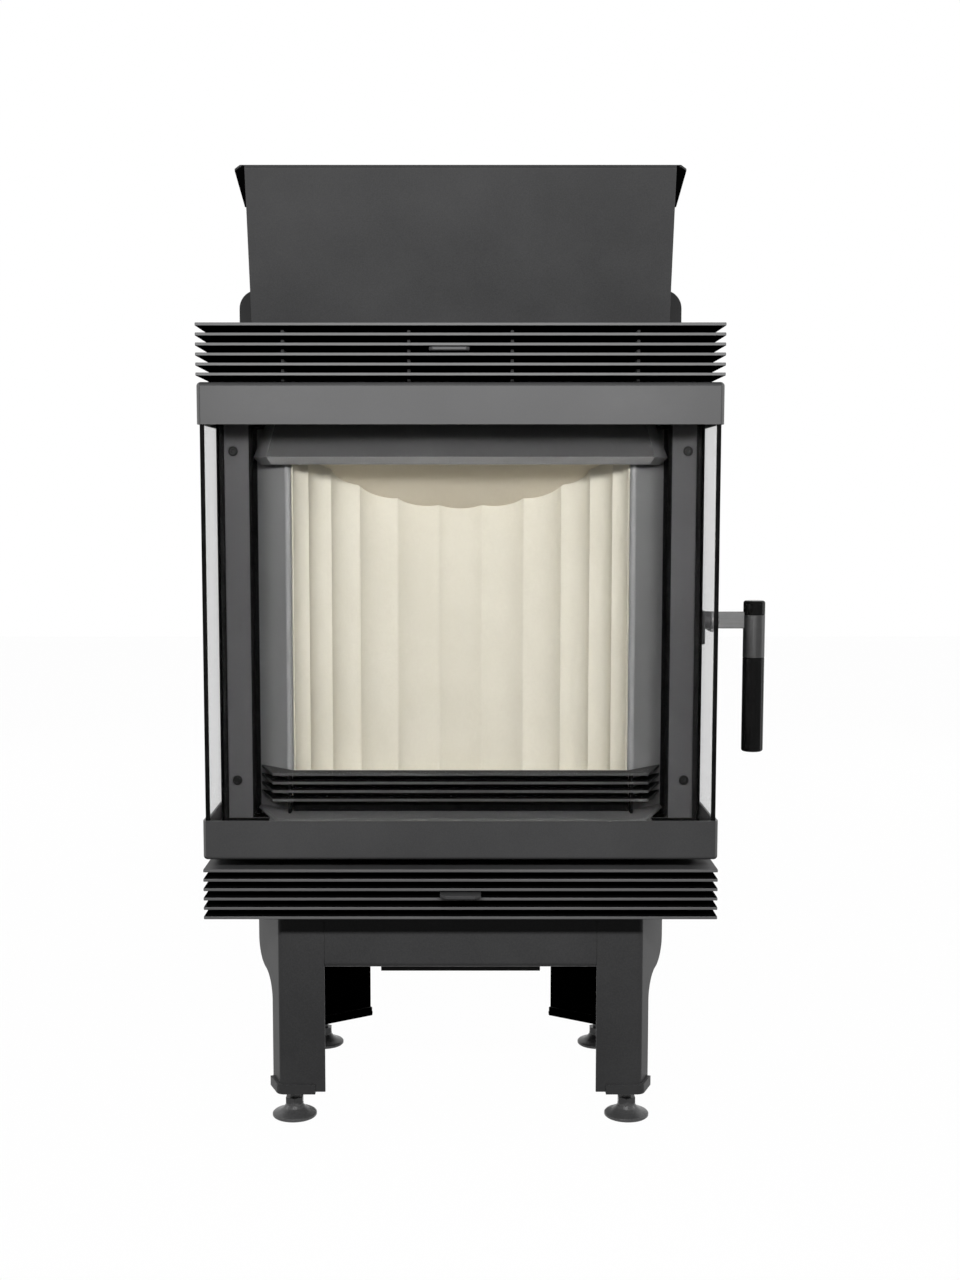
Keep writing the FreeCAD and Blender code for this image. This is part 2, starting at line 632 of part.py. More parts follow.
def slats(low):
    """Louvre slats, the lowest at a given middle height."""
    t = SLAT_T / 2
    heights = [low + k * SLAT_PITCH for k in range(SLATS)]
    return [box(-HALF, HALF, 0, LOUVRE_D, z - t, z + t) for z in heights]


def louvre_ribs():
    ribs = []
    for low, z0, z1 in ((LOW_SLAT_Z, BASE_TOP_Z, LOW_TAB_Z + 1), (HIGH_SLAT_Z, HIGH_SLAT_Z - 4, 0)):
        top = max(z1, low + (SLATS - 1) * SLAT_PITCH + 5.5)
        comb = Part.makeCompound(slats(low))
        for x in RIB_XS:
            blade = box(x - 1.5, x + 1.5, RIB_Y, FRAME_Y, z0, top)
            ribs += both(blade.cut(comb))
    return ribs


def heat_deflector():
    a = math.radians(16)
    y, z = FRAME_BACK_Y, HEADER_TOP_Z + 1
    rise = DEFLECTOR_TOP_Z - z
    crown = (y - rise * math.tan(a), DEFLECTOR_TOP_Z)
    tail = (crown[0] + 93 * math.cos(a), crown[1] - 93 * math.sin(a))
    wide, narrow = HALF - FLANGE_IN, HALF - DEFLECTOR_IN
    sheet = prism(fold([(y, z - 32), (y, z), crown, tail], -THIN, BEND / 2), "yz", -wide, wide)
    front = polygon([(crown[0] - 20, crown[1] + 20), (crown[0] + 300, crown[1] - 300), (crown[0] - 20, z - 80)])
    out = wide - narrow
    ear = polygon([(narrow, crown[0] - 1), (wide + 1, crown[0] - 1), (wide + 1, crown[0] + 1.3 * out)])
    for cutter in both(prism(front, "yz", narrow, wide + 1)) + both(prism(ear, "xy", z, DEFLECTOR_TOP_Z + 1)):
        sheet = sheet.cut(cutter)
    return sheet


def rear_heat_shield():
    w = HALF + SHIELD_OUT
    sheet = box(-w, w, SHIELD_Y, SHIELD_Y + 1.5, SHIELD_Z, SHIELD_TOP_Z)
    corners = [e for e in sheet.Edges if e.BoundBox.ZMin > SHIELD_TOP_Z - 0.1 and e.BoundBox.XLength < 0.1]
    return sheet.makeFillet(21.0, corners)


def shield_spacers():
    spots = [(x, z) for x in (SPACER_IN - BODY, BODY - SPACER_IN)
             for z in (SHIELD_Z + 60, TOP_Z - 50)]
    return [rod(7.0, x, BODY_BACK_Y, z, (0, 1, 0), SHIELD_Y - BODY_BACK_Y) for x, z in spots]


def hinge_brackets():
    x0, x1 = HINGE_X - 7, HINGE_X + 17
    plan = polygon([(x0, HINGE_Y - 9), (x1, HINGE_Y - 9), (x1, FRAME_Y), (x0, FRAME_Y)], 3.0)
    bore = rod(HINGE_R + FIT, HINGE_X, HINGE_Y, 0, (0, 0, 1), 2 * TOP_Z)
    low, high = LOW_TAB_Z, DOOR_TOP_Z + 1.2
    pairs = []
    for z0, z1, leg0, leg1 in ((low, low + TAB_T - 0.2, low - 25, low + 1), (high, high + TAB_T, high + 5, high + 27)):
        leg = box(-FRAME, x1, FRAME_Y - 4, FRAME_Y, leg0, leg1)
        pairs.append(fuse_all([prism(plan, "xy", z0, z1), leg]).cut(bore))
    return pairs


def latch_keeper():
    stud = rod(KEEPER_R, FRAME, KEEPER_Y, LATCH_Z, (1, 0, 0), ARM_X - 2 * GAP - FRAME)
    return stud.fuse(rod(KEEPER_R + 3, FRAME, KEEPER_Y, LATCH_Z, (1, 0, 0), THIN))


def air_slider_guides():
    y = FRAME_Y
    reach = 10.5 + GAP
    rails = []
    for side in (-1, 1):
        path = [(y, reach + 5.7), (y, reach), (y - 3.6, reach), (y - 3.6, reach - 3), (y - 5, reach - 3), (y - 5, reach + 5.7)]
        face = polygon([(a, AIR_GAP_Z + side * b) for a, b in path])
        rails.append(prism(face, "yz", 3 - RIB_X, RIB_X - 3))
    return rails


def air_slider():
    x, w, z = AIR_TAB_X, AIR_TAB_W / 2, AIR_GAP_Z
    y1 = FRAME_Y - GAP
    right = [(w - 3, -10), (w, -7), (w, 8), (10, 18), (10, y1 - SHEET)]
    plan = [(x + a, b) for a, b in across(right)]
    plate = box(x - 22, x + 22, y1 - SHEET, y1, z - 10.5, z + 10.5).cut(air_slots(x, 0, FRAME_Y))
    return fuse_all([prism(polygon(plan), "xy", z - 1.5, z + 1.5), plate])


def ignition_slider():
    w, z = KINDLE_TAB_W / 2, KINDLE_GAP_Z
    y1 = ASH_BOX_Y - GAP
    plan = across([(w - 6, -14), (w, -8), (w, 8), (10, 18), (10, y1 - SHEET)])
    valve = box(-30, 30, y1 - SHEET, y1, z - 19, z + 19)
    return fuse_all([prism(polygon(plan), "xy", z - 1.5, z + 1.5), valve])


def tray_bends(block):
    """Folded edges of a tray's block, round its closed side and down its front corners."""
    b = block.BoundBox
    closed = [e for e in block.Edges if e.BoundBox.ZMin > b.ZMax - 0.1 and e.BoundBox.YMin < b.YMax - 0.1]
    return closed + [e for e in block.Edges if e.BoundBox.YMax < b.YMin + 0.1 and e.BoundBox.XLength < 0.1]


def tray(height):
    """Folded band with its closed side up, open below and behind."""
    outer = box(-HALF, HALF, DOOR_FRONT_Y, DOOR_REAR_Y, -height, 0)
    inner = box(THIN - HALF, HALF - THIN, DOOR_FRONT_Y + THIN, DOOR_REAR_Y + 9, -height - 1, -THIN)
    band = outer.makeFillet(TRAY_BEND + THIN, tray_bends(outer)).cut(inner.makeFillet(TRAY_BEND, tray_bends(inner)))
    for side in (-1, 1):
        x = side * HALF
        band = band.cut(box(x - NOTCH, x + NOTCH, DOOR_FRONT_Y - 1, DOOR_FRONT_Y + NOTCH, -NOTCH, 1))
    return band.cut(rod(HINGE_R, HINGE_X, HINGE_Y, -THIN - 1, (0, 0, 1), THIN + 2))


def door_top_tray():
    band = tray(TRAY_TOP_H)
    band.translate(V(0, 0, DOOR_TOP_Z))
    return band


def door_bottom_tray():
    band = tray(TRAY_LOW_H).mirror(V(0, 0, 0), V(0, 0, 1))
    band.translate(V(0, 0, DOOR_Z))
    return band


def glass_front():
    return box(-BEAD_X, BEAD_X, GLASS_Y, GLASS_Y + GLASS_T, PANE_Z, PANE_TOP_Z)


def glass_sides():
    return both(box(SIDE_IN, SIDE_OUT, GLASS_Y + GLASS_T, STILE_Y, PANE_Z, PANE_TOP_Z))


def door_stiles():
    return both(box(SIDE_IN, SIDE_OUT, STILE_Y, DOOR_REAR_Y, PANE_Z, PANE_TOP_Z))


def door_seals():
    y, rear = GLASS_Y, GLASS_Y + GLASS_T
    plan = [(BEAD_X, y), (SIDE_OUT - 1.5, y), (SIDE_OUT, y + 1.5), (SIDE_OUT, rear), (BEAD_X, rear)]
    beads = both(prism(polygon(plan), "xy", PANE_Z, PANE_TOP_Z))
    x, z0, z1 = SIDE_IN - GAP, DOOR_Z + THIN + GAP, DOOR_TOP_Z - THIN - GAP
    y0, y1 = DOOR_REAR_Y - 4, FRAME_Y - GAP
    uprights = both(box(x - 4, x, y0, y1, z0, z1))
    rails = [box(4 - x, x - 4, y0, y1, z0, z0 + 7), box(4 - x, x - 4, y0, y1, z1 - 8, z1)]
    return beads + uprights + rails


def hinge_pins():
    low = rod(HINGE_R, HINGE_X, HINGE_Y, LOW_TAB_Z + 0.2, (0, 0, 1), DOOR_Z + THIN - LOW_TAB_Z - 0.2)
    low = low.fuse(rod(HINGE_R + 2, HINGE_X, HINGE_Y, DOOR_Z - COLLAR_T, (0, 0, 1), COLLAR_T))
    return [low, rod(HINGE_R, HINGE_X, HINGE_Y, DOOR_TOP_Z - THIN, (0, 0, 1), THIN + 1.2 + TAB_T)]


def handle_bush():
    y, z = HINGE_Y, LATCH_Z
    face = polygon([(y - 8, z - 24.5), (y + 10, z - 24.5), (y + 10, z + 9.5), (y - 8, z + 9.5)], 3.0)
    bush = prism(face, "yz", SIDE_OUT, BUSH_X).fuse(rod(9.0, BUSH_X, y, z, (1, 0, 0), BOSS_X - BUSH_X))
    return bush.cut(rod(SHAFT_R + FIT, 0, y, z, (1, 0, 0), FRONT_W))


def handle_arm():
    y, z = HINGE_Y, LATCH_Z
    shaft = rod(SHAFT_R, SIDE_OUT + GAP, y, z, (1, 0, 0), ARM_X + 3 - SIDE_OUT - GAP)
    face = polygon([(y - 3, z - 8.5), (y + 3, z - 8.5), (y + 3, z + 8.5), (y - 3, z + 8.5)], 1.0)
    bar = prism(face, "yz", ARM_X, GRIP_X).cut(rod(GRIP_R, GRIP_X, y, 0, (0, 0, 1), TOP_Z))
    return shaft.fuse(bar)


def latch_hook():
    y, z, k = HINGE_Y, LATCH_Z, KEEPER_BACK
    nose = k + KEEPER_R + 1.5
    hub = rod(9.0, HOOK_X, y, z, (1, 0, 0), SHEET)
    bar = polygon([(y - 3, z - 12), (y + nose + 4.5, z - 12), (y + nose + 4.5, z + 2), (y + nose, z + 2),
                   (y + nose, z - 6), (y + 8, z - 6), (y + 4, z), (y - 3, z)])
    hook = fuse_all([hub, prism(bar, "yz", HOOK_X, HOOK_X + SHEET)])
    return hook.cut(rod(SHAFT_R, 0, y, z, (1, 0, 0), FRONT_W))


def grip_pieces():
    """Grip, sleeve and cap stacked on one axis."""
    pieces = []
    z = GRIP_Z
    for k, length in enumerate(GRIP_LENGTHS):
        piece = rod(GRIP_R, GRIP_X, HINGE_Y, z, (0, 0, 1), length)
        if k != 1:
            end = z if k == 0 else z + length
            rim = [e for e in piece.Edges if abs(e.BoundBox.ZMin - end) < 0.1 and e.BoundBox.ZLength < 0.1]
            piece = piece.makeChamfer(1.5, rim)
        pieces.append(piece)
        z += length
    return pieces


def export(node, shapes):
    """Write one named piece, or a group of alike pieces."""
    group = shapes if isinstance(shapes, list) else [shapes]
    whole = group[0] if len(group) == 1 else Part.makeCompound(group)
    whole.exportStep("parts/" + node + ".step")


os.makedirs("parts", exist_ok=True)
BUILDERS = (
    base_plate, front_legs, rear_legs, foot_brackets, lock_nuts, front_apron, ash_box, ash_pan,
    air_inlet_spigot, firebox_shell, hearth_plate, top_plate, smoke_dome, flue_collar, front_header,
    front_sill, door_posts, post_screws, air_wash_hood, cheek_plates, lining_back, lining_sides,
    smoke_baffle, hearth_stone, grate, log_guard, ash_lip, louvre_ribs, heat_deflector,
    rear_heat_shield, shield_spacers, hinge_brackets, latch_keeper, air_slider_guides, air_slider,
    ignition_slider, door_top_tray, door_bottom_tray, glass_front, glass_sides, door_stiles,
    door_seals, hinge_pins, handle_bush, handle_arm, latch_hook,
)
for builder in BUILDERS:
    export(builder.__name__, builder())
export("top_louvres", slats(HIGH_SLAT_Z))
export("bottom_louvres", slats(LOW_SLAT_Z))
for name, piece in zip(("handle_grip", "grip_sleeve", "grip_cap"), grip_pieces()):
    export(name, piece)
for place, (x, y) in FEET.items():
    export("foot_" + place + "_right", foot(x, y))
    export("foot_" + place + "_left", foot(-x, y))
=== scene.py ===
"""Looks of a fireplace insert with a three-sided glazed door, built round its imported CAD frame."""
import json
import logging
import math
from collections.abc import Callable
from dataclasses import dataclass, field
from enum import Enum

import bmesh
import bpy
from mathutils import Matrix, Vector

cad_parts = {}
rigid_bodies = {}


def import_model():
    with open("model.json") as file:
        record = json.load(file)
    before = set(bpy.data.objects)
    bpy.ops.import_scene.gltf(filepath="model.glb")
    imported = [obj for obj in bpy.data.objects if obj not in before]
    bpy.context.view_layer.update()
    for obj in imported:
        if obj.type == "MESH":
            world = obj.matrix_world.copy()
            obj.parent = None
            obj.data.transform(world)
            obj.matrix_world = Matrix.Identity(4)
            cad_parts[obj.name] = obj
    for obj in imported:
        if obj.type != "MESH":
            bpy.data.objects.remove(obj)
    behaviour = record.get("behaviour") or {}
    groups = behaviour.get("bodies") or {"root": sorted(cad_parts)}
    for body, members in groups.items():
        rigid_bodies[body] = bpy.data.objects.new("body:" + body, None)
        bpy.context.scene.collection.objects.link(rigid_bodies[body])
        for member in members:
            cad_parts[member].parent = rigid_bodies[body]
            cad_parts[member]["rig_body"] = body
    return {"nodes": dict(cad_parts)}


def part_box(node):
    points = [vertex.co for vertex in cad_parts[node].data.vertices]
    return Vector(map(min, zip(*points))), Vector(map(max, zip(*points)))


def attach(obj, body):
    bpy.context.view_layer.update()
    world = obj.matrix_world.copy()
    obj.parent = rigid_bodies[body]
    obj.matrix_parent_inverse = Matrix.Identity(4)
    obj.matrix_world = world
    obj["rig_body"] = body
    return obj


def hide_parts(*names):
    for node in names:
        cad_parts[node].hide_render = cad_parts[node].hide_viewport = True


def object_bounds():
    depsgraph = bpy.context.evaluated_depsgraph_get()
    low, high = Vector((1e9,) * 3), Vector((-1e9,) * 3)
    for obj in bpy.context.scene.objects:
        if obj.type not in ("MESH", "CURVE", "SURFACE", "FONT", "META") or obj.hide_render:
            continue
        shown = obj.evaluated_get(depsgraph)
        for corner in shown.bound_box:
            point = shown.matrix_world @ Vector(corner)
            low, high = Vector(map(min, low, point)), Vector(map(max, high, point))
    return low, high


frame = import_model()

LOG = logging.getLogger("fireplace_insert")
MM = 0.001
CAD_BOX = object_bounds()

Colour = tuple[float, float, float]
Point = tuple[float, float, float]
Span = tuple[float, float]
Socket = bpy.types.NodeSocket
Face = bmesh.types.BMFace

# Numbers of the colour sockets on a Mix node
MIX_A, MIX_B, MIX_RESULT = 6, 7, 2
# Between a ray that has met no matt surface yet and one that has
HALF_BOUNCE = 0.5


class Slot(Enum):
    """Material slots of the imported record."""

    PAINT = "body_paint"
    LINING = "lining"
    BAFFLE = "baffle"
    HEARTH = "hearth"
    IRON = "iron"
    GLASS = "glass"
    SEAL = "seal"
    FITTINGS = "fittings"
    STEEL = "bare_steel"
    GRIP = "grip"


class Grain(Enum):
    """How a fine surface grain is stretched along the object's axes."""

    EVEN = (1.0, 1.0, 1.0)
    ALONG_X = (0.02, 1.0, 1.0)
    ALONG_Z = (1.0, 1.0, 0.02)


@dataclass
class NodeBench:
    """Places nodes in one node tree and joins them.

    Args:
        tree: The node tree that is filled.
        column: Number of nodes placed so far.
        pitch: Distance from one node to the next in the editor.
    """

    tree: bpy.types.NodeTree
    column: int = 0
    pitch: int = 180

    def add(self, kind: str, **settings: object) -> bpy.types.Node:
        """Add one node.

        Args:
            kind: Blender's name of the node type.
            **settings: Attributes of the node, or values of its inputs by name.

        Returns:
            The new node.
        """
        node = self.tree.nodes.new(kind)
        node.location = (self.column * self.pitch, 0)
        self.column += 1
        self.adjust(node, **settings)
        return node

    def adjust(self, node: bpy.types.Node, **settings: object) -> None:
        """Set values on a node.

        Args:
            node: The node.
            **settings: Its attributes, or values of its inputs by name with _ for a blank.
        """
        for name, value in settings.items():
            if hasattr(node, name):
                setattr(node, name, value)
            else:
                node.inputs[name.replace("_", " ")].default_value = value

    def join(self, source: Socket, target: Socket) -> None:
        """Link an output to an input."""
        self.tree.links.new(source, target)

    def calc(self, operation: str, *terms: Socket | float, clamp: bool = False) -> Socket:
        """Add one Math node.

        Args:
            operation: Blender's name of the operation.
            *terms: What it works on, outputs of other nodes or numbers.
            clamp: Whether the result stays between 0 and 1.

        Returns:
            The output with the result.
        """
        node = self.add("ShaderNodeMath", operation=operation, use_clamp=clamp)
        for term, target in zip(terms, node.inputs):
            if isinstance(term, float):
                target.default_value = term
            else:
                self.join(term, target)
        return node.outputs[0]

    def pick(self, share: Socket, first: Socket, second: Socket) -> Socket:
        """Add one Mix Shader node.

        Args:
            share: How much of the second shader shows.
            first: Shader at a share of 0.
            second: Shader at a share of 1.

        Returns:
            The output with the mixed shader.
        """
        node = self.add("ShaderNodeMixShader")
        for source, target in zip((share, first, second), node.inputs):
            self.join(source, target)
        return node.outputs["Shader"]

    def show(self, shader: Socket) -> None:
        """Link a shader to the surface of the material."""
        self.join(shader, self.tree.nodes["Material Output"].inputs["Surface"])


def new_material(name: str) -> tuple[bpy.types.Material, NodeBench, bpy.types.Node]:
    """Make a material with nodes.

    Args:
        name: Name of the material.

    Returns:
        The material, a bench on its node tree and its Principled shader.
    """
    made = bpy.data.materials.new(name)
    made.use_nodes = True
    return made, NodeBench(made.node_tree), made.node_tree.nodes["Principled BSDF"]


def surface_group() -> bpy.types.NodeTree:
    """Build the shared group of cloudy tone, fine grain and height.

    Returns:
        A shader node group with the outputs Tone, Speck and Height.
    """
    group = bpy.data.node_groups.new("cloud_and_grain", "ShaderNodeTree")
    for name, kind, start in (("Cloud Scale", "NodeSocketFloat", 6.0),
                              ("Grain Scale", "NodeSocketFloat", 700.0),
                              ("Stretch", "NodeSocketVector", Grain.EVEN.value)):
        group.interface.new_socket(name, in_out="INPUT", socket_type=kind).default_value = start
    for name in ("Tone", "Speck", "Height"):
        group.interface.new_socket(name, in_out="OUTPUT", socket_type="NodeSocketFloat")
    bench = NodeBench(group)
    entry = bench.add("NodeGroupInput")
    place = bench.add("ShaderNodeTexCoord").outputs["Object"]
    cloud = bench.add("ShaderNodeTexNoise", Detail=5.0, Roughness=0.6)
    bench.join(place, cloud.inputs["Vector"])
    bench.join(entry.outputs["Cloud Scale"], cloud.inputs["Scale"])
    stretch = bench.add("ShaderNodeVectorMath", operation="MULTIPLY")
    bench.join(place, stretch.inputs[0])
    bench.join(entry.outputs["Stretch"], stretch.inputs[1])
    grain = bench.add("ShaderNodeTexNoise", Detail=3.0, Roughness=0.55)
    bench.join(stretch.outputs[0], grain.inputs["Vector"])
    bench.join(entry.outputs["Grain Scale"], grain.inputs["Scale"])
    height = bench.calc("ADD", grain.outputs["Fac"], cloud.outputs["Fac"])
    leave = bench.add("NodeGroupOutput")
    bench.join(cloud.outputs["Fac"], leave.inputs["Tone"])
    bench.join(grain.outputs["Fac"], leave.inputs["Speck"])
    bench.join(height, leave.inputs["Height"])
    return group


SURFACE = surface_group()


@dataclass(frozen=True)
class Finish:
    """An opaque surface finish with cloudy tone, grain, uneven gloss and fine relief.

    Args:
        name: Name of the material.
        slot: Slot of the record that the finish stands for.
        dark: Colour of the darker clouds.
        light: Colour of the lighter clouds.
        rough: Lowest and highest roughness.
        metallic: Share of bare metal.
        specular: Strength of the gloss on what isn't metal.
        grain: Direction of the grain.
        grain_scale: Fineness of the grain, per metre.
        relief: Height of the grain, in metres.
        relief_share: How strongly the grain bends the light.
        cloud_scale: Fineness of the clouds, per metre.
        cloud_span: Noise at which the clouds are darkest and lightest.
        speck_span: Noise at which the grain is darkest and lightest.
        speck_share: Part of the tone that the grain adds or takes away.
    """

    name: str
    slot: Slot
    dark: Colour
    light: Colour
    rough: Span
    metallic: float = 0.0
    specular: float = 0.5
    grain: Grain = Grain.EVEN
    grain_scale: float = 900.0
    relief: float = 0.02 * MM
    relief_share: float = 0.6
    cloud_scale: float = 5.0
    cloud_span: Span = (0.3, 0.7)
    speck_span: Span = (0.35, 0.65)
    speck_share: float = 0.25

    def material(self) -> bpy.types.Material:
        """Return the material, made on first use."""
        return bpy.data.materials.get(self.name) or self.make()

    def make(self) -> bpy.types.Material:
        """Make the material.

        Returns:
            The new material.
        """
        made, bench, shader = new_material(self.name)
        bench.adjust(shader, Metallic=self.metallic, Specular_IOR_Level=self.specular)
        group = bench.add("ShaderNodeGroup", node_tree=SURFACE, Cloud_Scale=self.cloud_scale,
                          Grain_Scale=self.grain_scale, Stretch=self.grain.value)
        cloud = bench.add("ShaderNodeMapRange", From_Min=self.cloud_span[0], From_Max=self.cloud_span[1])
        bench.join(group.outputs["Tone"], cloud.inputs["Value"])
        speck = bench.add("ShaderNodeMapRange", From_Min=self.speck_span[0], From_Max=self.speck_span[1],
                          To_Min=-self.speck_share, To_Max=self.speck_share)
        bench.join(group.outputs["Speck"], speck.inputs["Value"])
        tone = bench.calc("ADD", cloud.outputs["Result"], speck.outputs["Result"], clamp=True)
        colour = bench.add("ShaderNodeMix", data_type="RGBA")
        colour.inputs[MIX_A].default_value = (*self.dark, 1.0)
        colour.inputs[MIX_B].default_value = (*self.light, 1.0)
        bench.join(tone, colour.inputs["Factor"])
        bench.join(colour.outputs[MIX_RESULT], shader.inputs["Base Color"])
        rough = bench.add("ShaderNodeMapRange", To_Min=self.rough[0], To_Max=self.rough[1])
        bench.join(tone, rough.inputs["Value"])
        bench.join(rough.outputs["Result"], shader.inputs["Roughness"])
        bump = bench.add("ShaderNodeBump", Strength=self.relief_share, Distance=self.relief)
        bench.join(group.outputs["Height"], bump.inputs["Height"])
        bench.join(bump.outputs["Normal"], shader.inputs["Normal"])
        return made


@dataclass(frozen=True)
class GlassFinish:
    """Clear glass ceramic that lets the studio light in.

    Args:
        name: Name of the material.
        slot: Slot of the record that the finish stands for; not used.
        tint: Colour of the light that passes.
        ior: Refraction index of the pane.
        haze: Roughness of its cloudiest places.
    """

    name: str
    slot: Slot
    tint: Colour
    ior: float = 1.06
    haze: float = 0.004

    def material(self) -> bpy.types.Material:
        """Return the material, made on first use."""
        return bpy.data.materials.get(self.name) or self.make()

    def make(self) -> bpy.types.Material:
        """Make the material.

        Returns:
            The new material.
        """
        made, bench, shader = new_material(self.name)
        bench.adjust(shader, Base_Color=(*self.tint, 1.0), Transmission_Weight=1.0, IOR=self.ior)
        group = bench.add("ShaderNodeGroup", node_tree=SURFACE)
        haze = bench.add("ShaderNodeMapRange", To_Min=0.0, To_Max=self.haze)
        bench.join(group.outputs["Tone"], haze.inputs["Value"])
        bench.join(haze.outputs["Result"], shader.inputs["Roughness"])
        clear = bench.add("ShaderNodeBsdfTransparent", Color=(*self.tint, 1.0))
        path = bench.add("ShaderNodeLightPath")
        bench.show(bench.pick(path.outputs["Is Shadow Ray"], shader.outputs["BSDF"], clear.outputs["BSDF"]))
        return made


AnyFinish = Finish | GlassFinish
FaceTest = Callable[[Face], bool]
Zone = tuple[AnyFinish, FaceTest]


def grey(level: float, blue: float = 0.0) -> Colour:
    """Return a grey of a level, with a little more blue if asked."""
    return level, level, level + blue


PAINT = Finish("satin_anthracite_paint", Slot.PAINT, dark=grey(0.049, 0.001), light=grey(0.07, 0.001),
               rough=(0.34, 0.44), specular=0.06)
BAND_PAINT = Finish("smooth_anthracite_paint", Slot.PAINT, dark=grey(0.048, 0.001),
                    light=grey(0.065, 0.001), rough=(0.30, 0.38), specular=0.16)
# Near-black copy of the paint: painted shade on the faces of the rear legs and their caps that look to the
# front or the middle.
SHADE_PAINT = Finish("painted_shade_anthracite_paint", Slot.PAINT, dark=grey(0.002), light=grey(0.004),
                     rough=(0.5, 0.6), specular=0.0)
# Lighter copy of the paint: painted highlight on the front edges of the slats.
LIT_EDGE_PAINT = Finish("painted_light_slat_edge_paint", Slot.PAINT, dark=grey(0.112, 0.001), light=grey(0.139, 0.001),
                    rough=(0.3, 0.4), specular=0.2)
# Copy of the paint without gloss for the hood, the guard and the ribs, so that the shade cast on them
# renders black.
INNER_PAINT = Finish("glossless_inner_paint", Slot.PAINT, dark=grey(0.052), light=grey(0.066),
                     rough=(0.34, 0.44), specular=0.0)
# Slightly lighter copy of the paint without gloss: painted light on the posts, whose shade from the tray
# renders black.
LIT_POST_PAINT = Finish("painted_light_post_paint", Slot.PAINT, dark=grey(0.055, 0.001), light=grey(0.078, 0.001),
                    rough=(0.34, 0.44), specular=0.0)
# Much lighter copy of the paint: painted light on the cheeks and on the hood's hipped ends and lip.
LIT_PALE_PAINT = Finish("painted_light_pale_paint", Slot.PAINT, dark=grey(0.19), light=grey(0.225),
                     rough=(0.36, 0.46), specular=0.2)
# Lighter copy of the paint: painted light on the ash lip and painted highlights on the trays' rounded front
# corners.
LIT_BEND_PAINT = Finish("painted_light_bend_paint", Slot.PAINT, dark=grey(0.102), light=grey(0.122),
                     rough=(0.36, 0.46), specular=0.25)
# Near-black copy of the paint: painted shade in the slat gaps, beside the posts, on the frame and stile
# fronts, flanges and folds, the hearth plate, the ash pan and the firebox's inside.
PAINTED_SHADE_BLACK = Finish("painted_shade_black_paint", Slot.PAINT, dark=grey(0.0025), light=grey(0.005),
                    rough=(0.6, 0.8), specular=0.0)
LINING = Finish("cream_fireclay", Slot.LINING, dark=(0.63, 0.60, 0.505), light=(0.685, 0.655, 0.56),
                rough=(0.75, 0.9), specular=0.2, grain_scale=420.0, relief=0.2 * MM, cloud_scale=9.0)
BAFFLE = Finish("baffle_fireclay", Slot.BAFFLE, dark=(0.60, 0.545, 0.445), light=(0.655, 0.605, 0.50),
                rough=(0.8, 0.95), specular=0.2, grain_scale=380.0, relief=0.3 * MM, cloud_scale=9.0)
HEARTH = Finish("hearth_fireclay", Slot.HEARTH, dark=(0.46, 0.41, 0.33), light=(0.58, 0.52, 0.42),
                rough=(0.8, 0.95), specular=0.2, grain_scale=300.0, relief=0.3 * MM, cloud_scale=12.0)
IRON = Finish("cast_iron", Slot.IRON, dark=(0.018, 0.018, 0.019), light=(0.045, 0.044, 0.043),
              rough=(0.5, 0.7), metallic=0.4, grain_scale=520.0, relief=0.3 * MM, cloud_scale=14.0)
CORD = Finish("glass_fibre_cord", Slot.SEAL, dark=grey(0.004), light=grey(0.012),
              rough=(0.8, 0.95), specular=0.0, relief=0.4 * MM, cloud_scale=60.0)
PLATED = Finish("dark_plated_steel", Slot.FITTINGS, dark=grey(0.15, 0.002), light=grey(0.22, 0.002),
                rough=(0.28, 0.45), metallic=0.75, grain_scale=600.0, relief=0.05 * MM, cloud_scale=20.0)
ARM_STEEL = Finish("brushed_grey_steel", Slot.STEEL, dark=grey(0.09), light=grey(0.135),
                   rough=(0.38, 0.55), metallic=0.85, grain=Grain.ALONG_X, grain_scale=1600.0,
                   relief=0.04 * MM, cloud_scale=16.0)
SLEEVE_STEEL = Finish("brushed_dark_steel", Slot.STEEL, dark=grey(0.036), light=grey(0.060),
                      rough=(0.34, 0.48), metallic=0.85, grain=Grain.ALONG_Z, grain_scale=1600.0,
                      relief=0.04 * MM, cloud_scale=16.0)
FOOT_STEEL = Finish("dark_foot_steel", Slot.FITTINGS, dark=grey(0.075, 0.001), light=grey(0.110, 0.001),
                    rough=(0.26, 0.4), metallic=0.2, specular=0.3, grain_scale=600.0, relief=0.05 * MM,
                    cloud_scale=20.0)
BLACKENED = Finish("blackened_steel", Slot.FITTINGS, dark=grey(0.004), light=grey(0.008),
                   rough=(0.35, 0.5), specular=0.1, grain_scale=600.0, relief=0.05 * MM, cloud_scale=20.0)
GRIP = Finish("glossy_black_grip", Slot.GRIP, dark=grey(0.003), light=grey(0.006),
              rough=(0.12, 0.2), specular=0.07, grain_scale=500.0, relief=0.03 * MM, cloud_scale=25.0)
FRONT_PANE = GlassFinish("clear_glass_ceramic", Slot.GLASS, tint=grey(0.99))
SIDE_PANE = GlassFinish("side_glass_ceramic", Slot.GLASS, tint=grey(0.90))

# Share of a face's normal along a direction, from a face that leans that way to one square to it
LEANING, BENT, TURNED, LOOKING, SQUARE = 0.1, 0.25, 0.35, 0.6, 0.95
# Places of the frame that tell the faces of a piece apart
BAND_TOPS = (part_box("top_louvres")[1].z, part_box("bottom_louvres")[1].z)
POST_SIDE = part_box("door_posts")[1].x - 0.5 * MM
SLAT_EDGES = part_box("log_guard")[0].y + 12.0 * MM
GUARD_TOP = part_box("log_guard")[1].z - 1.0 * MM
CHEEK_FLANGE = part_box("cheek_plates")[1].x - 14.0 * MM
FIRE_MIDDLE = sum(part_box("firebox_shell"), Vector()) / 2.0
BODY_MIDDLE = (CAD_BOX[0].y + CAD_BOX[1].y) / 2.0


